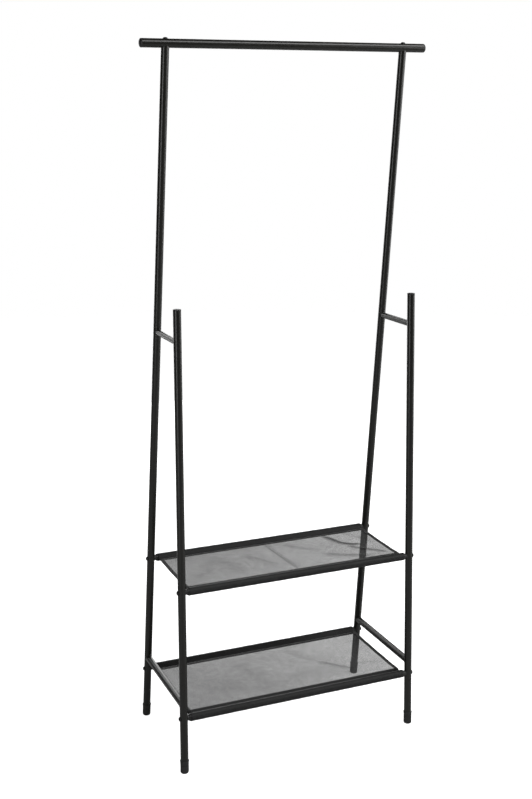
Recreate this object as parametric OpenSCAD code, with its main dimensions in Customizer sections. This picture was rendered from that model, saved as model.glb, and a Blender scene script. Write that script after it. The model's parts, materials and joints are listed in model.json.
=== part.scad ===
// Garment stand: a hang rail on two leaning side frames, with two mesh fabric shelves below.
// X runs along the rail, -Y is the front, +Z is up. The origin is on the floor, midway between the feet.

/* [Side frames] */
// Height of the hang rail's centre line above the floor
rail_height = 1541; // [1400:1:1700]
// Distance between the two side frames, leg axis to leg axis
frame_spacing = 545; // [440:1:700]
// Distance from the front foot to the rear foot, axis to axis on the floor
foot_spacing = 276; // [270:1:320]
// Forward lean of the long rear legs, in degrees
long_lean = 7.95; // [7:0.05:9]
// Rearward lean of the short front legs, in degrees
short_lean = 0.55; // [0.3:0.05:1.5]
// Length of a short leg's tube, measured along the leg from the floor
short_length = 1003; // [980:1:1040]
// Outer diameter of the leg tubes
leg_d = 17; // [16:0.5:18]
// Wall thickness of the leg tubes and cross tubes
leg_wall = 1; // [0.8:0.1:1.5]
// Height of the socket joint that splits each long leg into two tubes
splice_height = 960; // [956:1:990]
// Length of the connector tube inside that joint
spigot_length = 90; // [60:5:120]
// Bevel on the two tube ends that meet at the joint
splice_bevel = 0.6; // [0.3:0.1:0.8]

/* [Cross tubes of a side frame] */
// Height of the upper spacer tube between short and long leg
spacer_height = 936; // [900:1:942]
// Outer diameter of the upper spacer tube
spacer_d = 13; // [10:0.5:14]
// Height of the lower brace tube between short and long leg
brace_height = 150; // [148:1:180]
// Outer diameter of the lower brace tube
brace_d = 15; // [12:0.5:15.5]

/* [Hang rail] */
// Outer diameter of the hang rail
rail_d = 19; // [18:0.5:22]
// Wall thickness of the hang rail
rail_wall = 1.2; // [1:0.1:1.6]
// How far the rail reaches past a leg's axis, end cap included
rail_overhang = 55; // [30:1:80]
// How far an end cap's dome stands out of the rail
cap_dome = 5; // [3:0.5:7]

/* [Shelves] */
// Height of the middle shelf's tubes
mid_height = 402; // [360:1:440]
// Height of the lower shelf's tubes
low_height = 122; // [118:1:126]
// Outer diameter of the shelf tubes
shelf_tube_d = 16; // [15:0.5:17]
// Wall thickness of the shelf tubes
shelf_wall = 1; // [0.8:0.1:1.5]
// Gap between a leg and the end of a shelf tube, bridged by a bush
bush_gap = 6; // [5:0.5:12]
// Outer diameter of the bushes
bush_d = 11.5; // [10:0.5:13]
// Thickness of the mesh fabric
mesh_t = 1.2; // [0.8:0.1:2]
// Thickness of the fabric sleeve around a shelf tube
sleeve_t = 0.8; // [0.6:0.1:1.2]
// Width of the stitched hem beside a sleeve
hem_w = 14; // [8:0.5:18]
// Width of the binding tape along a shelf's short edges
binding_w = 8; // [6:0.5:16]
// Thickness of hems and binding tape
tape_t = 2; // [1.5:0.1:3]

/* [Bolts and feet] */
// Thread diameter of every bolt
bolt_d = 6; // [5:0.5:6]
// Diameter of the button heads
head_d = 10.5; // [9:0.5:12]
// Height of the button heads
head_h = 3.3; // [2.5:0.1:4]
// Outer diameter of the foot caps
foot_d = 18.4; // [18:0.1:21]
// Length of the foot caps along the leg
foot_length = 28; // [20:1:36]

/* [Hidden] */
$fn = 64;
SIDES = [-1, 1];
fit_gap = 0.05;                 // radial clearance of a part pushed into a tube
hole_gap = 0.2;                 // radial clearance of a bolt in a drilled hole
cloth_gap = 0.2;                // clearance between fabric and tube
cut = 1;                        // how far a cut runs past the surface it opens
overlap = 0.1;                  // how far joined shapes of one solid run into each other
leg_r = leg_d / 2;
leg_bore_r = leg_r - leg_wall;
shelf_tube_r = shelf_tube_d / 2;
shelf_tube_bore_r = shelf_tube_r - shelf_wall;
rail_r = rail_d / 2;
rail_bore_r = rail_r - rail_wall;
bolt_r = bolt_d / 2;
hole_r = bolt_r + hole_gap;
frame_x = frame_spacing / 2;
rear_foot_y = foot_spacing / 2;
front_foot_y = -foot_spacing / 2;
rail_y = rear_foot_y - rail_height * tan(long_lean);
post_length = rail_height / cos(long_lean);        // long leg from floor to rail axis
splice_at = splice_height / cos(long_lean);        // the joint, measured along the long leg
foot_base = 1.5;                // how far a cap starts below the floor line before it is trimmed flat
foot_sole = 4;                  // tube end above the floor, along the leg
foot_round = 3;                 // radius of the rounded lower edge of a cap
foot_lip = 2.5;                 // height of the bead at a cap's mouth
lip_sunk = 0.4;                 // how far the bead's centre lies inside the cap's outer surface
insert_length = 25;             // threaded plugs in the tube ends
insert_wall_gap = 2;            // setback of the rail's plugs under its saddle
shelf_bolt_reach = 18;          // how far a shelf bolt goes into its plug
rail_bolt_reach = 22;           // how far a rail bolt goes into its post, below the rail
socket_af = 4;                  // hex socket of the bolts
socket_depth = 1.8;
plug_flange = 2;                // top plate of the short legs' plugs
plug_chamfer = 0.6;             // bevel round that plate
spigot_wall = 1.15;             // wall of the connectors inside the long legs
end_plate = 1.5;                // plate of the shelf tubes' plugs, over the tube's end
end_plate_inset = 0.3;          // how far that plate is inside the tube's outline
end_plate_r = shelf_tube_r - end_plate_inset;
plug_stub = 14;                 // stub of end plugs and rail caps inside the tube
shelf_half = frame_x - leg_r - bush_gap;           // half length of a shelf tube
sleeve_inset = 0.5;             // bare tube beyond each end of a sleeve
sleeve_half = shelf_half - sleeve_inset;           // half length of a fabric sleeve
sleeve_bore_r = shelf_tube_r + cloth_gap;
sleeve_r = sleeve_bore_r + sleeve_t;
rail_half = frame_x + rail_overhang - cap_dome;    // half length of the bare rail

// Y of the long leg's axis and of the short leg's axis at height z
function long_y(z) = rear_foot_y - z * tan(long_lean);
function short_y(z) = front_foot_y + z * tan(short_lean);

// Places children in the frame of a long leg: Z along the leg, starting at the floor
module on_long_leg(side) {
    translate([side * frame_x, rear_foot_y, 0]) rotate([long_lean, 0, 0]) children();
}

// Places children in the frame of a short leg
module on_short_leg(side) {
    translate([side * frame_x, front_foot_y, 0]) rotate([-short_lean, 0, 0]) children();
}

// A cylinder along X, centred on x = 0
module bar_x(r, length) {
    rotate([0, 90, 0]) cylinder(r = r, h = length, center = true);
}

// A cylinder along Y from y0 to y1
module bar_y(r, y0, y1) {
    translate([0, y0, 0]) rotate([-90, 0, 0]) cylinder(r = r, h = y1 - y0);
}

// A round tube along Z
module tube(r, bore_r, z0, z1) {
    difference() {
        translate([0, 0, z0]) cylinder(r = r, h = z1 - z0);
        translate([0, 0, z0 - cut]) cylinder(r = bore_r, h = z1 - z0 + 2 * cut);
    }
}

// Clearance holes across a leg for the bolts of both shelves; at = their Y at a height
module shelf_bolt_holes(side, mid_y, low_y) {
    for (hole = [[mid_y, mid_height], [low_y, low_height]])
        translate([side * frame_x, hole[0], hole[1]]) bar_x(hole_r, leg_d + 2 * cut);
}

// Button-head bolt: head on z = 0 pointing up, shank downwards
module bolt(length) {
    dome_r = (pow(head_d / 2, 2) + pow(head_h, 2)) / (2 * head_h);
    difference() {
        union() {
            intersection() {
                cylinder(r = head_d / 2, h = head_h);
                translate([0, 0, head_h - dome_r]) sphere(r = dome_r);
            }
            translate([0, 0, -length]) cylinder(r = bolt_r, h = length + overlap);
        }
        translate([0, 0, head_h - socket_depth])
            cylinder(d = socket_af / cos(30), h = socket_depth + cut, $fn = 6);
    }
}

// Threaded plug for a tube with the given bore, from z0 to z1, with a through hole for the bolt
module tube_plug(bore_r, z0, z1) {
    tube(bore_r - fit_gap, bolt_r + fit_gap, z0, z1);
}

// A ring that bevels a leg tube's outer edge at z; up = 1 for a lower end, -1 for an upper end
module edge_bevel(z, up) {
    rotate_extrude()
        polygon([
            [leg_r - splice_bevel, z],
            [leg_r + cut, z],
            [leg_r + cut, z + up * (splice_bevel + cut)]
        ]);
}

// ---------- Hang rail ----------

module hang_rail() {
    color("#262626") difference() {
        translate([0, rail_y, rail_height]) bar_x(rail_r, 2 * rail_half);
        translate([0, rail_y, rail_height]) bar_x(rail_bore_r, 2 * (rail_half + cut));
        for (side = SIDES)
            on_long_leg(side) translate([0, 0, post_length - rail_r - cut])
                cylinder(r = hole_r, h = rail_d + 2 * cut);
    }
}

module rail_cap(side) {
    dome_r = (pow(rail_r, 2) + pow(cap_dome, 2)) / (2 * cap_dome);
    color("#1c1c1c") translate([side * rail_half, rail_y, rail_height]) rotate([0, side * 90, 0]) union() {
        intersection() {
            cylinder(r = rail_r, h = cap_dome);
            translate([0, 0, cap_dome - dome_r]) sphere(r = dome_r);
        }
        translate([0, 0, -plug_stub]) cylinder(r = rail_bore_r - fit_gap, h = plug_stub + overlap);
    }
}

module rail_bolts() {
    color("#303030") for (side = SIDES)
        on_long_leg(side) translate([0, 0, post_length + rail_r]) bolt(rail_d + rail_bolt_reach);
}

module rail_plugs() {
    color("#4a4a4a") for (side = SIDES)
        difference() {
            on_long_leg(side)
                tube_plug(leg_bore_r, post_length - rail_r - insert_length - insert_wall_gap, post_length);
            translate([side * frame_x, rail_y, rail_height])
                bar_x(rail_r + insert_wall_gap, leg_d + 2 * cut);
        }
}

// ---------- Side frames ----------

module upper_post(side) {
    color("#262626") difference() {
        on_long_leg(side) tube(leg_r, leg_bore_r, splice_at, post_length);
        on_long_leg(side) edge_bevel(splice_at, 1);
        translate([side * frame_x, rail_y, rail_height]) bar_x(rail_r + fit_gap, leg_d + 2 * cut);
    }
}

module post_spigot(side) {
    color("#3a3a3a") on_long_leg(side)
        tube(leg_bore_r - fit_gap, leg_bore_r - fit_gap - spigot_wall,
            splice_at - spigot_length / 2, splice_at + spigot_length / 2);
}

module long_leg(side) {
    color("#262626") difference() {
        on_long_leg(side) tube(leg_r, leg_bore_r, foot_sole, splice_at);
        on_long_leg(side) edge_bevel(splice_at, -1);
        shelf_bolt_holes(side, long_y(mid_height), long_y(low_height));
    }
}

module short_leg(side) {
    color("#262626") difference() {
        on_short_leg(side) tube(leg_r, leg_bore_r, foot_sole, short_length);
        shelf_bolt_holes(side, short_y(mid_height), short_y(low_height));
    }
}

module leg_plug(side) {
    color("#1c1c1c") on_short_leg(side) translate([0, 0, short_length]) union() {
        cylinder(r = leg_r, h = plug_flange - plug_chamfer);
        translate([0, 0, plug_flange - plug_chamfer])
            cylinder(r1 = leg_r, r2 = leg_r - plug_chamfer, h = plug_chamfer);
        translate([0, 0, -plug_stub]) cylinder(r = leg_bore_r - fit_gap, h = plug_stub + overlap);
    }
}

// A cross tube between short and long leg, its ends cut to saddle on the legs
module cross_tube(side, d, z) {
    color("#262626") difference() {
        translate([side * frame_x, 0, z]) difference() {
            bar_y(d / 2, short_y(z), long_y(z));
            bar_y(d / 2 - leg_wall, short_y(z) - cut, long_y(z) + cut);
        }
        on_long_leg(side) cylinder(r = leg_r + fit_gap, h = post_length);
        on_short_leg(side) cylinder(r = leg_r + fit_gap, h = short_length);
    }
}

// Push-on foot cap: closed cup with a rounded base and a bead at its mouth
module foot_profile() {
    r = foot_d / 2;
    top = foot_length;
    difference() {
        union() {
            translate([0, -foot_base]) square([r - foot_round, foot_round]);
            translate([r - foot_round, foot_round - foot_base]) intersection() {
                circle(r = foot_round);
                translate([0, -foot_round]) square(foot_round);
            }
            translate([0, foot_round - foot_base]) square([r, top - foot_round + foot_base - foot_lip / 2]);
            translate([0, top - foot_lip]) square([r, foot_lip]);
            translate([r - lip_sunk, top - foot_lip / 2]) circle(r = foot_lip / 2);
        }
        translate([0, foot_sole]) square([leg_r + fit_gap, top]);
        translate([-leg_d, -foot_base - cut]) square([leg_d, top + foot_base + 2 * cut]);
    }
}

// The cap's base is trimmed level, so that it stands flat on the floor
module foot(side, rear) {
    color("#161616") intersection() {
        if (rear) on_long_leg(side) rotate_extrude() foot_profile();
        else on_short_leg(side) rotate_extrude() foot_profile();
        translate([side * frame_x - foot_d, -foot_spacing, 0])
            cube([2 * foot_d, 2 * foot_spacing, 2 * foot_length]);
    }
}

// ---------- Shelves ----------

module shelf_tube(y, z) {
    color("#262626") translate([0, y, z]) difference() {
        bar_x(shelf_tube_r, 2 * shelf_half);
        bar_x(shelf_tube_bore_r, 2 * (shelf_half + cut));
    }
}

// Threaded plugs in both ends of a shelf's two tubes, each with a plate over the tube's end
module shelf_plugs(z) {
    color("#4a4a4a") for (side = SIDES, y = [short_y(z), long_y(z)])
        translate([side * shelf_half, y, z]) rotate([0, side * 90, 0]) union() {
            tube_plug(shelf_tube_bore_r, -insert_length, end_plate);
            tube(end_plate_r, bolt_r + fit_gap, 0, end_plate);
        }
}

// Bushes that hold the shelf tubes off the legs, saddled on the leg side
module shelf_bushes(z) {
    color("#333333") for (side = SIDES) difference() {
        for (y = [short_y(z), long_y(z)])
            translate([side * shelf_half, y, z]) rotate([0, side * 90, 0])
                tube(bush_d / 2, hole_r, end_plate, bush_gap + leg_r / 2);
        on_long_leg(side) cylinder(r = leg_r + fit_gap, h = post_length);
        on_short_leg(side) cylinder(r = leg_r + fit_gap, h = short_length);
    }
}

// Bolts through one side frame into a shelf's two tubes
module shelf_bolts(side, z) {
    color("#303030") for (y = [short_y(z), long_y(z)])
        translate([side * (frame_x + leg_r), y, z]) rotate([0, side * 90, 0])
            bolt(leg_d + bush_gap + shelf_bolt_reach);
}

// Mesh panel between the two hems
module shelf_mesh(z) {
    y0 = short_y(z) + sleeve_r + hem_w;
    y1 = long_y(z) - sleeve_r - hem_w;
    half = sleeve_half - binding_w;
    color("#8a8a8a") translate([-half, y0, z - mesh_t / 2]) cube([2 * half, y1 - y0, mesh_t]);
}

// Fabric sleeve around a shelf tube with its stitched hem; toward = +1 for a hem on the +Y side
module shelf_sleeve(y, z, toward) {
    color("#3c3c3c") translate([0, y, z]) difference() {
        union() {
            bar_x(sleeve_r, 2 * sleeve_half);
            translate([-sleeve_half, toward > 0 ? 0 : -sleeve_r - hem_w, -tape_t / 2])
                cube([2 * sleeve_half, sleeve_r + hem_w, tape_t]);
        }
        bar_x(sleeve_bore_r, 2 * (sleeve_half + cut));
    }
}

// Binding tape along one short edge of a mesh panel
module shelf_binding(side, z) {
    y0 = short_y(z) + sleeve_r + hem_w;
    y1 = long_y(z) - sleeve_r - hem_w;
    x0 = side > 0 ? sleeve_half - binding_w : -sleeve_half;
    color("#2a2a2a") translate([x0, y0, z - tape_t / 2]) cube([binding_w, y1 - y0, tape_t]);
}

// ---------- Nodes ----------

hang_rail();
rail_cap(-1);  // rail_cap_left
rail_cap(1);  // rail_cap_right
rail_bolts();
rail_plugs();
upper_post(-1);  // upper_post_left
upper_post(1);  // upper_post_right
post_spigot(-1);  // post_spigot_left
post_spigot(1);  // post_spigot_right
long_leg(-1);  // long_leg_left
long_leg(1);  // long_leg_right
short_leg(-1);  // short_leg_left
short_leg(1);  // short_leg_right
leg_plug(-1);  // leg_plug_left
leg_plug(1);  // leg_plug_right
cross_tube(-1, spacer_d, spacer_height);  // spacer_left
cross_tube(1, spacer_d, spacer_height);  // spacer_right
cross_tube(-1, brace_d, brace_height);  // brace_left
cross_tube(1, brace_d, brace_height);  // brace_right
foot(-1, false);  // foot_front_left
foot(1, false);  // foot_front_right
foot(-1, true);  // foot_rear_left
foot(1, true);  // foot_rear_right
shelf_tube(short_y(mid_height), mid_height);  // mid_front_tube
shelf_tube(long_y(mid_height), mid_height);  // mid_rear_tube
shelf_tube(short_y(low_height), low_height);  // low_front_tube
shelf_tube(long_y(low_height), low_height);  // low_rear_tube
shelf_plugs(mid_height);  // mid_tube_plugs
shelf_plugs(low_height);  // low_tube_plugs
shelf_bushes(mid_height);  // mid_bushes
shelf_bushes(low_height);  // low_bushes
shelf_bolts(-1, mid_height);  // mid_bolts_left
shelf_bolts(1, mid_height);  // mid_bolts_right
shelf_bolts(-1, low_height);  // low_bolts_left
shelf_bolts(1, low_height);  // low_bolts_right
shelf_mesh(mid_height);  // mid_mesh
shelf_sleeve(short_y(mid_height), mid_height, 1);  // mid_sleeve_front
shelf_sleeve(long_y(mid_height), mid_height, -1);  // mid_sleeve_rear
shelf_binding(-1, mid_height);  // mid_binding_left
shelf_binding(1, mid_height);  // mid_binding_right
shelf_mesh(low_height);  // low_mesh
shelf_sleeve(short_y(low_height), low_height, 1);  // low_sleeve_front
shelf_sleeve(long_y(low_height), low_height, -1);  // low_sleeve_rear
shelf_binding(-1, low_height);  // low_binding_left
shelf_binding(1, low_height);  // low_binding_right
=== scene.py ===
import json
import math
import random

import bmesh
import bpy
from mathutils import Matrix, Vector


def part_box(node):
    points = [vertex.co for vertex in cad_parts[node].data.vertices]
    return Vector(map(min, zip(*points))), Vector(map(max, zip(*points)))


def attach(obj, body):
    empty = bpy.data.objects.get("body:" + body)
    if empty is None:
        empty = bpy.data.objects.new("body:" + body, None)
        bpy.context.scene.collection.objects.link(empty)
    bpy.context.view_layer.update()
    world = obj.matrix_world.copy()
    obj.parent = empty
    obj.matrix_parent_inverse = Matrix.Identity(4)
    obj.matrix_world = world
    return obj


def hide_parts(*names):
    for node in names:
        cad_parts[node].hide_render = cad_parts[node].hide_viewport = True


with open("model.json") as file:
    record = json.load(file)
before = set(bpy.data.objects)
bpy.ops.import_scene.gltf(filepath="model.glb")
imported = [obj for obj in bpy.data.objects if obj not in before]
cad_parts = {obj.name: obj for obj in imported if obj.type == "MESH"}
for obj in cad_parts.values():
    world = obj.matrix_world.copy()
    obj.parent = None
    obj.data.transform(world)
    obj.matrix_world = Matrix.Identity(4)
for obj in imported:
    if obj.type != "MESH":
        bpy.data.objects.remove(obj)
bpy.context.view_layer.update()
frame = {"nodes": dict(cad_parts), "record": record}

# The looks of a tubular garment stand with two mesh shelves. Everything is in metres, in the CAD frame:
# X along the hang rail, -Y to the front, Z up, the floor at Z = 0.

MM = 0.001
ROOT = "root"

# ---------- Where the CAD model's parts are ----------

mounts = {m["name"]: m for m in frame["record"]["mounts"]}


def centre(node):
    """The middle of a CAD node's box."""
    low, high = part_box(node)
    return (Vector(low) + Vector(high)) / 2


def size(node):
    """The three lengths of a CAD node's box."""
    low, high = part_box(node)
    return Vector(high) - Vector(low)


rail_centre = centre("hang_rail")
rail_radius = size("hang_rail").z / 2
rail_half = size("hang_rail").x / 2
leg_radius = size("short_leg_left").x / 2
shelf_tube_radius = size("mid_front_tube").z / 2
frame_x = mounts["foot_rear_right_sole"]["pos_m"][0]
rear_foot_y = mounts["foot_rear_right_sole"]["pos_m"][1]
front_foot_y = mounts["foot_front_right_sole"]["pos_m"][1]
LONG_DIR = Vector((0, rail_centre.y - rear_foot_y, rail_centre.z)).normalized()
SHORT_DIR = Vector(mounts["bag_peg_right"]["axis"]).normalized()
SIDES = {"left": -1, "right": 1}

# ---------- Mesh helpers ----------

ROUND_STEPS = 48  # points round a turned part


def place(origin, axis, front=Vector((0, -1, 0))):
    """A matrix whose Z runs along axis from origin, with X as near to front as it can be."""
    z = Vector(axis).normalized()
    x = (front - front.dot(z) * z).normalized()
    y = z.cross(x)
    return Matrix.Translation(origin) @ Matrix((x, y, z)).transposed().to_4x4()


def add_rings(bm, rings, matrix, close_ends=True):
    """Joins rings of equal length into one surface and returns its rows of vertices."""
    rows = [[bm.verts.new(matrix @ Vector(p)) for p in ring] for ring in rings]
    count = len(rows[0])
    for low, high in zip(rows, rows[1:]):
        for i in range(count):
            j = (i + 1) % count
            bm.faces.new((low[i], low[j], high[j], high[i]))
    if close_ends:
        bm.faces.new(list(reversed(rows[0])))
        bm.faces.new(rows[-1])
    return rows


def circle(radius, z, steps=ROUND_STEPS):
    turn = 2 * math.pi / steps
    return [(radius * math.cos(i * turn), radius * math.sin(i * turn), z) for i in range(steps)]


def hexagon(half_width, z):
    """A hexagon across flats 2 x half_width, drawn with as many points as a circle."""
    points = []
    for i in range(ROUND_STEPS):
        angle = 2 * math.pi * i / ROUND_STEPS
        radius = half_width / math.cos((angle % (math.pi / 3)) - math.pi / 6)
        points.append((radius * math.cos(angle), radius * math.sin(angle), z))
    return points


def lathe(bm, profile, matrix):
    """Turns a profile, a list of (radius, z), into a closed solid."""
    add_rings(bm, [circle(r, z) for r, z in profile], matrix)


def arc(cx, cz, radius, start, end, steps):
    """Profile points (r, z) on an arc, angles in degrees from the +r direction."""
    out = []
    for i in range(steps + 1):
        a = math.radians(start + (end - start) * i / steps)
        out.append((cx + radius * math.cos(a), cz + radius * math.sin(a)))
    return out


def finish_piece(name, bm, material, nodes=(), sharp=35):
    """Turns a bmesh into a piece riding on the stand's one body, in place of the CAD nodes given."""
    bmesh.ops.recalc_face_normals(bm, faces=bm.faces)
    mesh = bpy.data.meshes.new(name)
    bm.to_mesh(mesh)
    bm.free()
    for polygon in mesh.polygons:
        polygon.use_smooth = True
    mesh.set_sharp_from_angle(angle=math.radians(sharp))
    mesh.materials.append(material)
    piece = bpy.data.objects.new(name, mesh)
    bpy.context.scene.collection.objects.link(piece)
    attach(piece, ROOT)
    if nodes:
        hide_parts(*nodes)
    return piece


# ---------- Materials ----------


class Shader:
    """A node material with short calls for its nodes."""

    def __init__(self, name):
        self.material = bpy.data.materials.new(name)
        self.material.use_nodes = True
        self.tree = self.material.node_tree
        self.tree.nodes.clear()
        self.output = self.node("ShaderNodeOutputMaterial")

    def node(self, kind, settings=None, **inputs):
        made = self.tree.nodes.new(kind)
        for key, value in (settings or {}).items():
            setattr(made, key, value)
        for key, value in inputs.items():
            self.set(made, key.replace("_", " "), value)
        return made

    def set(self, node, socket, value):
        """Sets or links an input, named as Blender names it or as i0, i1 and so on by its place."""
        by_place = socket[0] == "i" and socket[1:].isdigit()
        target = node.inputs[int(socket[1:]) if by_place else socket]
        if isinstance(value, bpy.types.NodeSocket):
            self.tree.links.new(value, target)
        else:
            target.default_value = value

    def where(self):
        return self.node("ShaderNodeTexCoord").outputs["Object"]

    def named(self, attribute):
        return self.node("ShaderNodeAttribute", {"attribute_name": attribute})

    def noise(self, vector, scale, detail=4.0, roughness=0.6):
        inputs = {"Vector": vector, "Scale": scale, "Detail": detail, "Roughness": roughness}
        return self.node("ShaderNodeTexNoise", **inputs).outputs["Fac"]

    def math(self, operation, a, b=0.0, clamp=False):
        settings = {"operation": operation, "use_clamp": clamp}
        return self.node("ShaderNodeMath", settings, i0=a, i1=b).outputs["Value"]

    def ramp(self, value, low, high, from_low=0.0, from_high=1.0):
        """low to high as value goes from from_low to from_high, held at both ends."""
        found = self.node("ShaderNodeMapRange", {"clamp": True}, Value=value)
        self.set(found, "From Min", from_low)
        self.set(found, "From Max", from_high)
        self.set(found, "To Min", low)
        self.set(found, "To Max", high)
        return found.outputs["Result"]

    def mix_colour(self, factor, a, b):
        found = self.node("ShaderNodeMix", {"data_type": "RGBA"})
        self.set(found, "Factor", factor)
        found.inputs[6].default_value = (*a, 1)
        found.inputs[7].default_value = (*b, 1)
        return found.outputs[2]

    def bump(self, height, distance, strength=1.0, normal=None):
        found = self.node("ShaderNodeBump", Height=height, Distance=distance, Strength=strength)
        if normal is not None:
            self.set(found, "Normal", normal)
        return found.outputs["Normal"]

    def principled(self, **inputs):
        found = self.node("ShaderNodeBsdfPrincipled", **inputs)
        self.tree.links.new(found.outputs["BSDF"], self.output.inputs["Surface"])
        return found


def grey(value):
    return (value, value, value)


def powder_coat():
    """Satin black powder coat: orange peel, faint cloudiness and a few smoother rubbed patches."""
    s = Shader("powder_coat_black")
    where = s.where()
    cloud = s.noise(where, 22.0, 3.0)
    peel = s.noise(where, 900.0, 2.0)
    grain = s.noise(where, 3200.0, 1.0)
    rub = s.ramp(s.noise(where, 60.0, 5.0, 0.7), 0.0, 1.0, 0.56, 0.72)
    colour = s.mix_colour(cloud, (0.0058, 0.0058, 0.0047), (0.0092, 0.0092, 0.0078))
    rough = s.math("ADD", s.ramp(cloud, 0.27, 0.33, 0.3, 0.7), s.math("MULTIPLY", rub, -0.05))
    normal = s.bump(grain, 0.00004, 0.2, s.bump(peel, 0.00012, 0.25))
    shader = s.principled(Base_Color=colour, Roughness=rough, Normal=normal)
    s.set(shader, "Specular IOR Level", 0.3)
    s.set(shader, "Coat Weight", 0.1)
    s.set(shader, "Coat Roughness", 0.25)
    return s.material


def moulded_plastic(name, low, high, rough_low, rough_high, texture_scale):
    """Black moulded plastic or rubber with a fine spark-eroded texture and slight colour drift."""
    s = Shader(name)
    where = s.where()
    drift = s.noise(where, 45.0, 3.0)
    texture = s.noise(where, texture_scale, 3.0, 0.7)
    colour = s.mix_colour(drift, low, high)
    rough = s.ramp(texture, rough_low, rough_high, 0.3, 0.7)
    normal = s.bump(texture, 0.00008, 0.6)
    shader = s.principled(Base_Color=colour, Roughness=rough, Normal=normal)
    s.set(shader, "Specular IOR Level", 0.4)
    return s.material


def black_oxide():
    """Blackened steel of the bolts, worn a little lighter in fine scratches."""
    s = Shader("bolt_black_oxide")
    where = s.where()
    scratch = s.noise(where, 1400.0, 4.0, 0.75)
    worn = s.ramp(scratch, 0.0, 1.0, 0.6, 0.8)
    colour = s.mix_colour(worn, (0.014, 0.014, 0.014), (0.09, 0.088, 0.085))
    rough = s.ramp(scratch, 0.28, 0.5, 0.3, 0.7)
    shader = s.principled(Base_Color=colour, Roughness=rough, Normal=s.bump(scratch, 0.00003, 0.5))
    s.set(shader, "Metallic", 0.55)
    return s.material


def zinc_steel():
    """Plain zinc-plated steel of the hidden plugs and connectors."""
    s = Shader("zinc_steel")
    where = s.where()
    spangle = s.noise(where, 260.0, 4.0)
    colour = s.mix_colour(spangle, (0.36, 0.36, 0.37), (0.5, 0.5, 0.51))
    rough = s.ramp(spangle, 0.3, 0.5, 0.3, 0.7)
    shader = s.principled(Base_Color=colour, Roughness=rough, Normal=s.bump(spangle, 0.00003, 0.4))
    s.set(shader, "Metallic", 0.9)
    return s.material


MESH_PITCH_U = 2.5 * MM  # from hole to hole along the tubes
MESH_PITCH_V = 2.1 * MM  # and across them


def knit_pattern(s, cloth):
    """Rows of small diamond holes: 1 in a hole, 0 on the yarn. cloth holds metres on the flat fabric."""
    axes = s.node("ShaderNodeSeparateXYZ", Vector=cloth)
    u = s.math("COSINE", s.math("MULTIPLY", axes.outputs["X"], 2 * math.pi / MESH_PITCH_U))
    v = s.math("COSINE", s.math("MULTIPLY", axes.outputs["Y"], 2 * math.pi / MESH_PITCH_V))
    both = s.math("MULTIPLY", u, v)
    return s.ramp(both, 0.0, 1.0, -0.25, 0.45)


def mesh_cloth(name, hole_alpha, yarn_alpha):
    """Open black polyester mesh: knitted holes let light through. An attribute closes them further at the
    doubled hems, in creases (partly denser cloth, partly painted shade) and towards each panel's left end
    (painted shade).
    """
    s = Shader(name)
    cloth = s.named("cloth").outputs["Vector"]
    density_and_shade = s.named("density_and_shade").outputs["Fac"]
    holes = knit_pattern(s, cloth)
    drift = s.noise(cloth, 9.0, 4.0, 0.65)
    yarn = s.noise(cloth, 1500.0, 2.0)
    colour = s.mix_colour(drift, grey(0.01), (0.017, 0.0173, 0.0173))
    alpha = s.ramp(holes, yarn_alpha, hole_alpha)
    alpha = s.math("ADD", alpha, s.ramp(drift, 0.025, -0.025, 0.3, 0.7))
    speckle = s.math("ADD", s.noise(cloth, 260.0, 2.0), s.noise(cloth, 70.0, 3.0))
    alpha = s.math("ADD", alpha, s.ramp(speckle, 0.025, -0.025, 0.75, 1.25))
    # painted shade: this attribute darkens the cloth in creases and towards the panel's left end; at the
    # hems it is the real doubled cloth
    alpha = s.math("ADD", alpha, density_and_shade, clamp=True)
    relief = s.math("ADD", s.math("MULTIPLY", holes, -1.0), s.math("MULTIPLY", yarn, 0.2))
    normal = s.bump(relief, 0.0001, 0.12)
    shader = s.principled(Base_Color=colour, Alpha=alpha, Normal=normal)
    s.set(shader, "Roughness", s.ramp(yarn, 0.5, 0.65))
    s.set(shader, "Sheen Weight", 0.03)
    s.set(shader, "Sheen Roughness", 0.45)
    s.set(shader, "Specular IOR Level", 0.2)
    return s.material


RIB_PITCH = 0.9 * MM
CROSS_PITCH = 0.6 * MM


def woven_tape():
    """Black twill tape: diagonal ribs, with a painted highlight that makes the crowns a little lighter
    than the grooves.
    """
    s = Shader("binding_twill")
    cloth = s.named("cloth").outputs["Vector"]
    axes = s.node("ShaderNodeSeparateXYZ", Vector=cloth)
    diagonal = s.math("ADD", axes.outputs["X"], axes.outputs["Y"])
    rib = s.math("SINE", s.math("MULTIPLY", diagonal, 2 * math.pi / RIB_PITCH))
    cross = s.math("SINE", s.math("MULTIPLY", axes.outputs["X"], 2 * math.pi / CROSS_PITCH))
    weave_relief_and_highlight = s.ramp(s.math("ADD", rib, s.math("MULTIPLY", cross, 0.4)), 0.0, 1.0, -1.4, 1.4)
    fuzz = s.noise(cloth, 900.0, 3.0)
    # painted highlight and shade: rib crowns drawn lighter, grooves darker
    colour = s.mix_colour(s.math("MULTIPLY", weave_relief_and_highlight, fuzz), grey(0.006), grey(0.024))
    shader = s.principled(Base_Color=colour, Normal=s.bump(weave_relief_and_highlight, 0.00025, 0.8))
    s.set(shader, "Roughness", s.ramp(fuzz, 0.75, 0.92))
    s.set(shader, "Sheen Weight", 0.08)
    s.set(shader, "Specular IOR Level", 0.2)
    return s.material


def sewing_thread():
    """Black polyester thread with a light twist."""
    s = Shader("stitch_thread")
    where = s.where()
    twist = s.noise(where, 2200.0, 2.0)
    colour = s.mix_colour(twist, grey(0.012), grey(0.05))
    shader = s.principled(Base_Color=colour, Normal=s.bump(twist, 0.00005, 0.6))
    s.set(shader, "Roughness", s.ramp(twist, 0.5, 0.7))
    s.set(shader, "Sheen Weight", 0.2)
    return s.material


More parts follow.
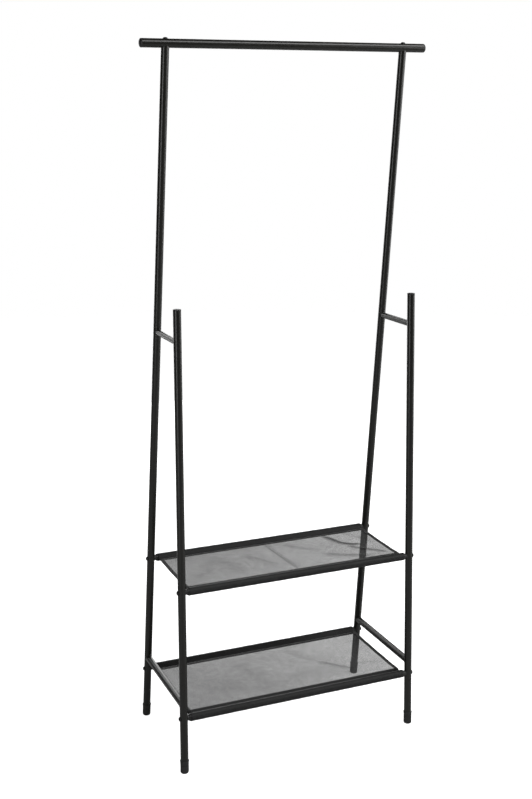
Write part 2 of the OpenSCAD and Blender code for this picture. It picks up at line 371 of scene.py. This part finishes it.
def studio_floor():
    """Pale studio floor that reads as white and fades out towards its edge."""
    s = Shader("studio_floor")
    where = s.where()
    mottle = s.noise(where, 3.0, 3.0)
    colour = s.mix_colour(mottle, grey(0.5), grey(0.53))
    normal = s.bump(s.noise(where, 120.0, 3.0), 0.0002, 0.2)
    shader = s.principled(Base_Color=colour, Normal=normal)
    s.set(shader, "Roughness", s.ramp(mottle, 0.85, 0.95))
    s.set(shader, "Specular IOR Level", 0.1)
    s.set(shader, "Emission Color", (1, 1, 1, 1))
    seen = s.node("ShaderNodeLightPath").outputs["Is Camera Ray"]
    s.set(shader, "Emission Strength", s.ramp(seen, FLOOR_BOUNCE, FLOOR_GLOW))
    radius = s.node("ShaderNodeVectorMath", {"operation": "LENGTH"}, i0=where).outputs["Value"]
    s.set(shader, "Alpha", s.ramp(radius, 1.0, 0.0, 0.4 * FLOOR_RADIUS, FLOOR_RADIUS))
    return s.material


FLOOR_RADIUS = 6.0
FLOOR_GLOW = 1.0  # how bright the camera sees the floor
FLOOR_BOUNCE = 0.05  # how much light it gives the stand

COAT = powder_coat()
CAP_PLASTIC = moulded_plastic("cap_plastic", grey(0.008), grey(0.014), 0.42, 0.58, 1700.0)
BUSH_PLASTIC = moulded_plastic("bush_plastic", grey(0.009), grey(0.018), 0.4, 0.55, 1200.0)
FOOT_RUBBER = moulded_plastic("foot_rubber", grey(0.007), grey(0.013), 0.55, 0.72, 1100.0)
BOLT_STEEL = black_oxide()
ZINC = zinc_steel()
MESH_CLOTH = mesh_cloth("mesh_cloth", 0.39, 0.67)
TAPE = woven_tape()
THREAD = sewing_thread()

# ---------- Tubes and hidden parts stay as the CAD has them ----------


def cover(nodes, material):
    """Gives CAD nodes a material."""
    for name in nodes:
        mesh = frame["nodes"][name].data
        mesh.materials.clear()
        mesh.materials.append(material)


TUBES = ["hang_rail"]
for side in SIDES:
    TUBES += [f"{part}_{side}" for part in ("upper_post", "long_leg", "short_leg", "spacer", "brace")]
for shelf in ("mid", "low"):
    TUBES += [f"{shelf}_front_tube", f"{shelf}_rear_tube"]
cover(TUBES, COAT)
cover(["rail_plugs", "post_spigot_left", "post_spigot_right"], ZINC)
cover(["mid_tube_plugs", "low_tube_plugs"], CAP_PLASTIC)

# ---------- Caps, plugs and feet ----------

STUB_LENGTH = 14 * MM  # how far a cap or plug reaches into its tube
CAP_SHOULDER = 0.9 * MM  # the straight rim of a rail cap, before its dome
FLANGE = 2 * MM  # thickness of a leg plug's flange
FOOT_LENGTH = 28 * MM
FOOT_WALL = 0.7 * MM
FOOT_ROUND = 5 * MM  # radius of a foot cap's lower edge


def rail_cap(side, sign):
    """Domed end cap with a thin shoulder line where it meets the tube, and its stub inside."""
    tip = size(f"rail_cap_{side}").x - STUB_LENGTH
    r = rail_radius
    stub = r - 1.3 * MM
    profile = [(stub - 0.6 * MM, -STUB_LENGTH), (stub, 0.8 * MM - STUB_LENGTH), (stub, 0.0)]
    profile += [(r - 0.25 * MM, 0.0), (r, 0.25 * MM), (r, CAP_SHOULDER)]
    steps = 12
    for i in range(1, steps):
        a = math.pi / 2 * i / steps
        profile.append((r * math.cos(a) ** 0.85, CAP_SHOULDER + (tip - CAP_SHOULDER) * math.sin(a)))
    profile.append((0.4 * MM, tip))
    bm = bmesh.new()
    origin = Vector((sign * rail_half, rail_centre.y, rail_centre.z))
    lathe(bm, profile, place(origin, (sign, 0, 0), Vector((0, 0, 1))))
    finish_piece(f"rail_end_cap_{side}", bm, CAP_PLASTIC, [f"rail_cap_{side}"])


def leg_plug(side, sign):
    """Flat plug in the top of a short leg: rounded flange, shallow dished top with a gate mark."""
    r = leg_radius
    stub = r - 1.05 * MM
    top_round = 0.7 * MM
    dish = FLANGE - 0.35 * MM
    gate = FLANGE - 0.1 * MM
    profile = [(r - 1.6 * MM, -STUB_LENGTH), (stub, MM - STUB_LENGTH), (stub, 0.0)]
    profile += [(r - 0.2 * MM, 0.0), (r, 0.2 * MM)]
    profile += arc(r - top_round, FLANGE - top_round, top_round, 0, 90, 5)
    profile += [(r - 2.2 * MM, FLANGE), (r - 2.8 * MM, dish), (1.6 * MM, dish)]
    profile += [(1.3 * MM, gate), (0.3 * MM, gate)]
    foot = Vector((sign * frame_x, front_foot_y, 0))
    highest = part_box(f"leg_plug_{side}")[1][2]
    along = (highest - leg_radius * abs(SHORT_DIR.y)) / SHORT_DIR.z - FLANGE
    bm = bmesh.new()
    lathe(bm, profile, place(foot + SHORT_DIR * along, SHORT_DIR))
    finish_piece(f"short_leg_plug_{side}", bm, CAP_PLASTIC, [f"leg_plug_{side}"])


def foot_cap(row, side, sign):
    """Push-on foot: tapered mouth bead, two grip rings, rounded base and a level sole."""
    foot_y, axis = (front_foot_y, SHORT_DIR) if row == "front" else (rear_foot_y, LONG_DIR)
    r = leg_radius + FOOT_WALL
    bore = leg_radius + 0.06 * MM
    floor_inside = 4 * MM
    mouth = 1.2 * MM  # radius of the bead
    groove = 0.5 * MM  # half its width
    below = 1.5 * MM  # how far the cap is drawn below the floor, where it is then cut level
    profile = [(bore, floor_inside), (bore, FOOT_LENGTH - 0.4 * MM), (bore + 0.3 * MM, FOOT_LENGTH)]
    profile += arc(r - 0.35 * MM, FOOT_LENGTH - mouth, mouth, 90, -60, 7)
    for share in (0.62, 0.72):
        z = FOOT_LENGTH * share
        profile += [(r, z + groove), (r - 0.22 * MM, z), (r, z - groove)]
    profile += arc(r - FOOT_ROUND, FOOT_ROUND - below, FOOT_ROUND, 0, -84, 10)
    profile += [(0.5 * MM, -1.6 * MM)]
    bm = bmesh.new()
    lathe(bm, profile, place(Vector((sign * frame_x, foot_y, 0)), axis))
    for vert in bm.verts:
        vert.co.z = max(vert.co.z, 0.0)
    finish_piece(f"foot_cap_{row}_{side}", bm, FOOT_RUBBER, [f"foot_{row}_{side}"])


for side, sign in SIDES.items():
    rail_cap(side, sign)
    leg_plug(side, sign)
    for row in ("front", "rear"):
        foot_cap(row, side, sign)

# ---------- Bolts, bushes and welds ----------

HEAD_RADIUS = 5.25 * MM
HEAD_HEIGHT = 3.3 * MM
SHANK_RADIUS = 3 * MM
RAIL_BOLT_LENGTH = 40 * MM
SOCKET_RADIUS = 2.75 * MM  # the chamfered mouth of the hex socket


def add_bolt(bm, matrix, length):
    """Button-head bolt with a hex socket; Z = 0 is under the head."""
    crown = (HEAD_RADIUS**2 + HEAD_HEIGHT**2) / (2 * HEAD_HEIGHT)  # radius of the head's dome
    chamfer = 0.8 * MM
    rings = [circle(SHANK_RADIUS - chamfer, -length), circle(SHANK_RADIUS, -length + chamfer)]
    rings += [circle(SHANK_RADIUS, 0.0), circle(HEAD_RADIUS - 0.15 * MM, 0.0)]
    rings += [circle(HEAD_RADIUS, 0.2 * MM)]
    dome_steps = 7
    for i in range(1, dome_steps + 1):
        r = HEAD_RADIUS - (HEAD_RADIUS - SOCKET_RADIUS) * i / dome_steps
        rings.append(circle(r, HEAD_HEIGHT - crown + math.sqrt(crown**2 - r**2)))
    rings.append(circle(2.45 * MM, rings[-1][0][2] - 0.12 * MM))
    rings.append(hexagon(2.0 * MM, rings[-1][0][2] - 0.2 * MM))
    rings.append(hexagon(1.95 * MM, HEAD_HEIGHT - 2.0 * MM))
    rings.append(circle(0.5 * MM, HEAD_HEIGHT - 2.3 * MM))
    add_rings(bm, rings, matrix)


def rail_bolts():
    bm = bmesh.new()
    for sign in SIDES.values():
        seat = Vector((sign * frame_x, rail_centre.y, rail_centre.z)) + LONG_DIR * rail_radius
        add_bolt(bm, place(seat, LONG_DIR), RAIL_BOLT_LENGTH)
    finish_piece("rail_button_bolts", bm, BOLT_STEEL, ["rail_bolts"])


def shelf_bolts(shelf, side, sign):
    bm = bmesh.new()
    length = size(f"{shelf}_bolts_{side}").x - HEAD_HEIGHT
    for tube in ("front", "rear"):
        middle = centre(f"{shelf}_{tube}_tube")
        seat = Vector((sign * (frame_x + leg_radius), middle.y, middle.z))
        add_bolt(bm, place(seat, (sign, 0, 0)), length)
    name = f"{shelf}_shelf_bolts_{side}"
    finish_piece(name, bm, BOLT_STEEL, [f"{shelf}_bolts_{side}"])


def shelf_bushes(shelf):
    """Short moulded bushes with a collar at the tube, hollowed to the leg at the other end."""
    bm = bmesh.new()
    r = size(f"{shelf}_bushes").z / 2
    collar = r + 1.2 * MM
    collar_edge = 0.3 * MM
    hole = 3.2 * MM
    leg_reach = leg_radius + 0.1 * MM
    tube_half = size(f"{shelf}_front_tube").x / 2
    gap = frame_x - tube_half
    start = 1.55 * MM  # clear of the plug's end plate
    for tube in ("front", "rear"):
        middle = centre(f"{shelf}_{tube}_tube")
        lean = SHORT_DIR if tube == "front" else LONG_DIR
        for sign in SIDES.values():
            matrix = place(Vector((sign * tube_half, middle.y, middle.z)), (sign, 0, 0))
            profile = [(hole, start), (collar - collar_edge, start), (collar, start + collar_edge)]
            profile += [(collar, start + 1.2 * MM), (collar - collar_edge, start + 1.5 * MM)]
            profile += [(r, start + 1.8 * MM)]
            rings = [circle(radius, z) for radius, z in profile]
            for radius in (r, hole):
                saddle = []
                for x, y, _ in circle(radius, 0.0):
                    across = (matrix.to_3x3() @ Vector((x, y, 0))).cross(lean).length
                    saddle.append((x, y, gap - math.sqrt(max(leg_reach**2 - across**2, 0))))
                rings.append(saddle)
            rows = add_rings(bm, rings, matrix, close_ends=False)
            for i in range(len(rows[0])):
                j = (i + 1) % len(rows[0])
                bm.faces.new((rows[-1][i], rows[-1][j], rows[0][j], rows[0][i]))
    finish_piece(f"{shelf}_shelf_bushes", bm, BUSH_PLASTIC, [f"{shelf}_bushes"])


def weld_ring(name, leg_foot, leg_dir, tube_centre, tube_radius, toward):
    """A painted weld bead where a cross tube meets a leg; toward = +1 where the tube runs to +Y."""
    bm = bmesh.new()
    steps, bead_steps, ripple_steps = 96, 8, 6
    bead = 0.9 * MM
    draw = random.Random(name)
    phase = draw.uniform(0, 6.28)
    loop = []
    for i in range(steps):
        a = 2 * math.pi * i / steps
        x = tube_radius * math.cos(a)
        z = tube_radius * math.sin(a)
        reach = math.sqrt(leg_radius**2 - x**2)
        axis_y = leg_foot.y + leg_dir.y / leg_dir.z * (tube_centre.z + z)
        loop.append(Vector((tube_centre.x + x, axis_y + toward * reach / leg_dir.z, tube_centre.z + z)))
    rows = []
    for i, point in enumerate(loop):
        ahead = (loop[(i + 1) % steps] - loop[i - 1]).normalized()
        outward = (point - Vector((tube_centre.x, point.y, tube_centre.z))).normalized()
        side_dir = ahead.cross(outward).normalized()
        ripple = 1 + 0.14 * math.sin(i * 2 * math.pi / ripple_steps + phase) + draw.uniform(-0.05, 0.05)
        ring = []
        for j in range(bead_steps):
            b = 2 * math.pi * j / bead_steps
            ring.append(point + (outward * math.cos(b) + side_dir * math.sin(b)) * bead * ripple)
        rows.append([bm.verts.new(p) for p in ring])
    for i in range(steps):
        ahead_row = rows[(i + 1) % steps]
        for j in range(bead_steps):
            k = (j + 1) % bead_steps
            bm.faces.new((rows[i][j], rows[i][k], ahead_row[k], ahead_row[j]))
    finish_piece(name, bm, COAT, sharp=180)


rail_bolts()
for shelf in ("mid", "low"):
    shelf_bushes(shelf)
    for side, sign in SIDES.items():
        shelf_bolts(shelf, side, sign)
for side, sign in SIDES.items():
    front_foot = Vector((sign * frame_x, front_foot_y, 0))
    rear_foot = Vector((sign * frame_x, rear_foot_y, 0))
    for tube in ("spacer", "brace"):
        middle = centre(f"{tube}_{side}")
        radius = size(f"{tube}_{side}").z / 2
        weld_ring(f"{tube}_weld_front_{side}", front_foot, SHORT_DIR, middle, radius, 1)
        weld_ring(f"{tube}_weld_rear_{side}", rear_foot, LONG_DIR, middle, radius, -1)

# ---------- Shelf fabric ----------

CLOTH_GAP = 0.1 * MM  # between a tube and the cloth round it
CLOTH_T = 0.4 * MM
STITCH_AT = 13.5 * MM  # from a tube's axis to the seam that closes its sleeve
PLY = 0.45 * MM  # from the middle of a hem to each of its two layers
ROW_STEP = 2.2 * MM  # spacing of the panel's points front to back
COLUMN_STEP = 2.4 * MM  # and from side to side
EASE = 25 * MM  # how far from the hems the sag and the wrinkles reach their full height
TAPE_HALF_T = 0.95 * MM


def smooth(x):
    x = min(max(x, 0.0), 1.0)
    return x * x * (3 - 2 * x)


def tape_wave(y):
    """The slight wave of an edge tape."""
    return 0.25 * MM * math.sin(y / (11 * MM))


def near_line(p, points, width):
    """How near p is to a curve through points, up to 1 on the curve, and how far along the curve it is."""
    best, along = math.inf, 0.0
    for k, (a, b) in enumerate(zip(points, points[1:])):
        ax, ay = a
        dx, dy = b[0] - ax, b[1] - ay
        t = ((p[0] - ax) * dx + (p[1] - ay) * dy) / (dx * dx + dy * dy)
        t = min(max(t, 0.0), 1.0)
        d = math.hypot(p[0] - ax - t * dx, p[1] - ay - t * dy)
        if d < best:
            best, along = d, (k + t) / (len(points) - 1)
    return math.exp(-((best / width) ** 2)), along


# Creases and wrinkles of each panel: curve points as shares of half the width and of the depth from the
# front tube, half-width in metres, height in metres and how much the holes close there. That closing
# darkens the crease: partly denser cloth in the fold, partly painted shade.
WRINKLES = {
    "mid": [
        ([(0.036, 0.02), (0.008, 0.5), (-0.022, 0.98)], 3.0, 1.2, 0.13),
        ([(0.064, 0.02), (0.034, 0.5), (0.014, 0.98)], 2.6, -1.0, 0.07),
        ([(0.53, 0.95), (0.60, 0.76), (0.64, 0.62), (0.72, 0.53), (0.82, 0.50)], 6.0, 2.4, 0.3),
        ([(0.65, 0.52), (0.74, 0.40), (0.84, 0.28), (0.95, 0.14)], 5.5, 2.2, 0.2),
        ([(0.72, 0.97), (0.86, 0.72), (0.97, 0.46)], 7.0, -1.6, 0.04),
        ([(0.36, 0.44), (0.50, 0.30), (0.64, 0.22), (0.80, 0.10)], 9.0, 1.6, 0.1),
        ([(0.12, 0.85), (0.26, 0.66), (0.42, 0.50)], 10.0, -1.2, 0.05),
        ([(-0.30, 0.72), (-0.18, 0.52), (-0.10, 0.30)], 12.0, 1.4, 0.04),
        ([(-0.62, 0.92), (-0.46, 0.5), (-0.44, 0.12)], 14.0, 1.2, 0.025),
        ([(-0.92, 0.2), (-0.72, 0.4), (-0.52, 0.75)], 14.0, -1.0, 0.02),
    ],
    "low": [
        ([(0.38, 0.52), (0.47, 0.42), (0.56, 0.32), (0.63, 0.24)], 6.0, 2.0, 0.1),
        ([(0.70, 0.34), (0.82, 0.30), (0.95, 0.27)], 8.0, 1.2, 0.03),
        ([(0.20, 0.85), (0.34, 0.62), (0.42, 0.52)], 14.0, -1.0, 0.035),
        ([(0.0, 0.3), (0.2, 0.36), (0.38, 0.28)], 16.0, 1.2, 0.03),
        ([(-0.35, 0.8), (-0.2, 0.45), (-0.24, 0.1)], 18.0, 1.0, 0.025),
        ([(-0.85, 0.6), (-0.6, 0.35), (-0.35, 0.3)], 18.0, -1.0, 0.015),
    ],
}
SAG = {"mid": 2.0 * MM, "low": 2.4 * MM}
RISE = {"mid": 1.5 * MM, "low": 3.6 * MM}  # how far the panel and its tapes stand above the tubes' axes
HEM_CLOSED = 0.45  # how much the holes close where the cloth is doubled or pulled round a tube
LEFT_END_SHADE = {"mid": 0.08, "low": 0.05}  # painted shade: holes closed further at a panel's left end, so it reads darker there
RIGHT_END_SHADE_LOSS = 0.09  # how much of that painted shade is lost towards its right end


class Shelf:
    """One shelf's fabric: where its tubes are and how its cloth runs round them."""

    def __init__(self, name):
        self.name = name
        self.front = centre(f"{name}_front_tube")
        self.rear = centre(f"{name}_rear_tube")
        self.half = size(f"{name}_sleeve_front").x / 2
        self.wrap = shelf_tube_radius + CLOTH_GAP + CLOTH_T / 2
        self.depth = self.rear.y - self.front.y
        self.hem_to = size(f"{name}_sleeve_front").y - size(f"{name}_sleeve_front").z / 2 - 0.4 * MM

    def off_seam(self, y):
        """0 at the hems' seams, 1 on the panel between them."""
        run = 8 * MM
        return smooth((y - self.front.y - STITCH_AT) / run) * smooth((self.rear.y - STITCH_AT - y) / run)

    def surface(self, x, y):
        """Height of the panel above the tubes' axes and how much its holes are closed at (x, y). The
        closing includes painted shade in the creases and towards the panel's left end.
        """
        u = x / self.half
        v = (y - self.front.y) / self.depth
        from_front = y - self.front.y - self.hem_to
        from_rear = self.rear.y - self.hem_to - y
        edge = smooth(from_front / EASE) * smooth(from_rear / EASE)
        sag = SAG[self.name] * edge * math.sin(math.pi * v) * (1 - 0.35 * u * u)
        height = RISE[self.name] * self.off_seam(y) - sag
        # painted shade: the panel is drawn darker at its left end and lighter towards its right end
        closing_and_shade = LEFT_END_SHADE[self.name] - RIGHT_END_SHADE_LOSS * smooth(0.5 + 0.5 * u)
        if from_front < 0 or from_rear < 0:
            closing_and_shade = HEM_CLOSED
        for points, width, lift, crease_density_and_shade in WRINKLES[self.name]:
            line = [(px * self.half, self.front.y + pv * self.depth) for px, pv in points]
            close_by, along = near_line((x, y), line, width * MM)
            fade = smooth(along * 5) * smooth((1 - along) * 5) if 0 < along < 1 else 0.0
            height += lift * MM * close_by * fade * edge
            # creases drawn darker: partly denser cloth in the fold, partly painted shade
            closing_and_shade += crease_density_and_shade * close_by * fade
        return height, closing_and_shade

    def path(self):
        """The cloth's way from front hem to rear hem, as (y, z, kind) with kind hem, wrap or panel."""
        r = self.wrap
        touch = math.acos(r / STITCH_AT)  # where the cloth leaves the tube
        run_steps, turn_steps = 4, 30
        out = []
        for centre_y, sign in ((self.front.y, 1), (self.rear.y, -1)):
            part = []
            seam_y = centre_y + sign * STITCH_AT
            tangent_y, tangent_z = centre_y + sign * r * math.cos(touch), r * math.sin(touch)
            for k in range(run_steps):
                y = self.hem_to - (self.hem_to - STITCH_AT) * k / run_steps
                part.append((centre_y + sign * y, -PLY, "hem"))
            for k in range(run_steps):
                t = k / run_steps
                part.append((seam_y + (tangent_y - seam_y) * t, -PLY - (tangent_z - PLY) * t, "wrap"))
            for k in range(turn_steps + 1):
                a = -touch - (2 * math.pi - 2 * touch) * k / turn_steps
                part.append((centre_y + sign * r * math.cos(a), r * math.sin(a), "wrap"))
            for k in range(1, run_steps + 1):
                t = k / run_steps
                y = tangent_y + (seam_y - tangent_y) * t
                part.append((y, tangent_z + (PLY - tangent_z) * t, "wrap"))
            out.append(part)
        first, last = out
        y0, y1 = first[-1][0], last[-1][0]
        count = int((y1 - y0) / ROW_STEP)
        panel = [(y0 + (y1 - y0) * k / count, PLY, "panel") for k in range(1, count)]
        return first + panel + list(reversed(last))

    def build(self):
        """The fabric as one sheet, and its flat size."""
        path = self.path()
        columns = int(2 * self.half / COLUMN_STEP)
        arc_length = [0.0]
        for a, b in zip(path, path[1:]):
            arc_length.append(arc_length[-1] + math.hypot(b[0] - a[0], b[1] - a[1]))
        flat = (2 * self.half, arc_length[-1])
        bm = bmesh.new()
        cloth_layer = bm.verts.layers.float_vector.new("cloth")
        # per-vertex hole closing: real doubled cloth at the hems, with painted shade in the creases and
        # towards the panel's left end
        density_and_shade_layer = bm.verts.layers.float.new("density_and_shade")
        grid = []
        for i in range(columns + 1):
            x = -self.half + 2 * self.half * i / columns
            line = []
            for (y, z, kind), along in zip(path, arc_length):
                height, closing_and_shade = self.surface(x, y) if kind == "panel" else (0.0, HEM_CLOSED)
                level = z if kind != "panel" else PLY * (1 - self.off_seam(y)) + height
                if kind == "wrap":
                    level += 0.12 * MM * math.sin(x / (7 * MM) + math.sin(x / (19 * MM)) * 2)
                vert = bm.verts.new((x, y, self.front.z + level))
                vert[cloth_layer] = (x, along, 0.0)
                vert[density_and_shade_layer] = closing_and_shade
                line.append(vert)
            grid.append(line)
        for a, b in zip(grid, grid[1:]):
            for j in range(len(path) - 1):
                bm.faces.new((a[j], b[j], b[j + 1], a[j + 1]))
        nodes = [f"{self.name}_{part}" for part in ("mesh", "sleeve_front", "sleeve_rear")]
        name = f"{self.name}_mesh_fabric"
        piece = finish_piece(name, bm, MESH_CLOTH, nodes, sharp=180)
        thick = piece.modifiers.new("cloth thickness", "SOLIDIFY")
        thick.thickness = CLOTH_T
        thick.offset = 0
        return piece, flat

    def binding(self, side, sign):
        """Twill tape folded over the panel's short edge, with rounded long edges and a slight wave."""
        bm = bmesh.new()
        cloth_layer = bm.verts.layers.float_vector.new("cloth")
        width = size(f"{self.name}_binding_{side}").x
        outer, inner = sign * (self.half + 0.3 * MM), sign * (self.half - width)
        y0 = self.front.y + STITCH_AT + 1.5 * MM
        y1 = self.rear.y - STITCH_AT - 1.5 * MM
        count = int((y1 - y0) / (3 * MM))
        inner_edge, outer_edge = inner + (outer - inner) * 0.06, inner + (outer - inner) * 0.93
        half_section = [(inner, 0.55), (inner_edge, 1.0), (outer_edge, 1.0), (outer, 0.35)]
        section = [(x, share * TAPE_HALF_T) for x, share in half_section]
        section += [(x, -z) for x, z in reversed(section)]
        rings = []
        for k in range(count + 1):
            y = y0 + (y1 - y0) * k / count
            height, _ = self.surface(sign * (self.half - width / 2), y)
            level = self.front.z + height + tape_wave(y)
            rings.append([(x, y, level + z) for x, z in section])
        rows = add_rings(bm, rings, Matrix.Identity(4))
        for row in rows:
            for vert in row:
                vert[cloth_layer] = (vert.co.x + vert.co.z, vert.co.y, 0.0)
        name, node = f"{self.name}_edge_tape_{side}", f"{self.name}_binding_{side}"
        return finish_piece(name, bm, TAPE, [node], sharp=60)

    def stitches(self):
        """Seams of short raised threads: two rows along each hem and one along each tape."""
        bm = bmesh.new()
        pitch, length, r, thread_steps = 3.4 * MM, 2.5 * MM, 0.28 * MM, 6
        seams = []
        for base, sign in ((self.front.y, 1), (self.rear.y, -1)):
            for offset in (STITCH_AT + 1.2 * MM, self.hem_to - 1.4 * MM):
                seams.append(("x", base + sign * offset))
        width = size(f"{self.name}_binding_left").x
        for sign in SIDES.values():
            seams.append(("y", sign * (self.half - width + 1.6 * MM)))
        for run, at in seams:
            low, high = (-self.half + 3 * MM, self.half - 3 * MM)
            lift = PLY + CLOTH_T / 2
            if run == "y":
                low, high = self.front.y + self.hem_to, self.rear.y - self.hem_to
                lift = TAPE_HALF_T
            for k in range(int((high - low) / pitch)):
                middle = low + pitch * (k + 0.5)
                x, y = (middle, at) if run == "x" else (at, middle)
                base, _ = self.surface(x, y)
                if run == "y":
                    base += tape_wave(y)
                direction = (1, 0, 0) if run == "x" else (0, 1, 0)
                matrix = place(Vector((x, y, self.front.z + base + lift)), direction, Vector((0, 0, 1)))
                outline = [(0.35, -0.5), (1.0, -0.36), (1.0, 0.36), (0.35, 0.5)]
                rings = [circle(r * across, length * reach, thread_steps) for across, reach in outline]
                add_rings(bm, rings, matrix)
        return finish_piece(f"{self.name}_stitching", bm, THREAD, sharp=60)


for shelf_name in ("mid", "low"):
    shelf = Shelf(shelf_name)
    fabric, flat = shelf.build()
    trims = [shelf.binding(side, sign) for side, sign in SIDES.items()]
    trims.append(shelf.stitches())

# ---------- Floor, light and camera ----------


def make_floor():
    bm = bmesh.new()
    bmesh.ops.create_circle(bm, cap_ends=True, segments=96, radius=FLOOR_RADIUS)
    mesh = bpy.data.meshes.new("floor")
    bm.to_mesh(mesh)
    bm.free()
    mesh.materials.append(studio_floor())
    floor = bpy.data.objects.new("floor", mesh)
    bpy.context.scene.collection.objects.link(floor)


def area_light(name, position, target, width, height, power):
    data = bpy.data.lights.new(name, "AREA")
    data.shape = "RECTANGLE"
    data.size, data.size_y = width, height
    data.energy = power
    light = bpy.data.objects.new(name, data)
    light.location = position
    light.rotation_mode = "QUATERNION"
    light.rotation_quaternion = (Vector(target) - Vector(position)).to_track_quat("-Z", "Y")
    light.visible_camera = False
    bpy.context.scene.collection.objects.link(light)


def make_world(seen, lighting):
    """White behind the stand, and a dimmer even light on it."""
    world = bpy.data.worlds.new("studio")
    bpy.context.scene.world = world
    world.use_nodes = True
    tree = world.node_tree
    tree.nodes.clear()
    output = tree.nodes.new("ShaderNodeOutputWorld")
    mix = tree.nodes.new("ShaderNodeMixShader")
    rays = tree.nodes.new("ShaderNodeLightPath")
    tree.links.new(rays.outputs["Is Camera Ray"], mix.inputs[0])
    for socket, strength in ((1, lighting), (2, seen)):
        sky = tree.nodes.new("ShaderNodeBackground")
        sky.inputs["Color"].default_value = (1, 1, 1, 1)
        sky.inputs["Strength"].default_value = strength
        tree.links.new(sky.outputs[0], mix.inputs[socket])
    tree.links.new(mix.outputs[0], output.inputs["Surface"])


CAMERA_AT = Vector((-1.0437, -2.4355, 1.4021))
CAMERA_TURN = math.radians(22.77)
CAMERA_DOWN = math.radians(7.94)
CAMERA_ROLL = math.radians(-0.2)
CAMERA_LENS = 54.31
CAMERA_SHIFT = -0.1489


def make_camera():
    data = bpy.data.cameras.new("camera")
    data.sensor_width = 36.0
    data.lens = CAMERA_LENS
    data.shift_y = CAMERA_SHIFT
    camera = bpy.data.objects.new("camera", data)
    camera.location = CAMERA_AT
    camera.rotation_mode = "QUATERNION"
    level_reach = math.cos(CAMERA_DOWN)
    level_look = Vector((math.sin(CAMERA_TURN), math.cos(CAMERA_TURN), 0)) * level_reach
    look = level_look - Vector((0, 0, math.sin(CAMERA_DOWN)))
    level = look.to_track_quat("-Z", "Y")
    camera.rotation_quaternion = level @ Matrix.Rotation(CAMERA_ROLL, 4, "Z").to_quaternion()
    bpy.context.scene.collection.objects.link(camera)
    bpy.context.scene.camera = camera


make_floor()
make_world(seen=1.0, lighting=0.05)
area_light("softbox_left", (-2.5, -1.7, 1.2), (0, 0, 1.2), 0.8, 2.3, 36)
area_light("softbox_right", (2.8, -0.3, 1.3), (0, 0, 1.3), 0.9, 2.4, 34)
area_light("softbox_front", (2.4, -1.9, 1.75), (0, 0, 1.45), 1.8, 1.7, 48)
area_light("softbox_top", (1.1, -1.5, 3.4), (0, 0, 0.6), 3.0, 1.0, 70)
area_light("backdrop_glow", (0.2, 3.0, 1.2), (0, 0, 0.9), 2.8, 2.6, 70)
make_camera()
bpy.context.scene.view_settings.view_transform = "Standard"
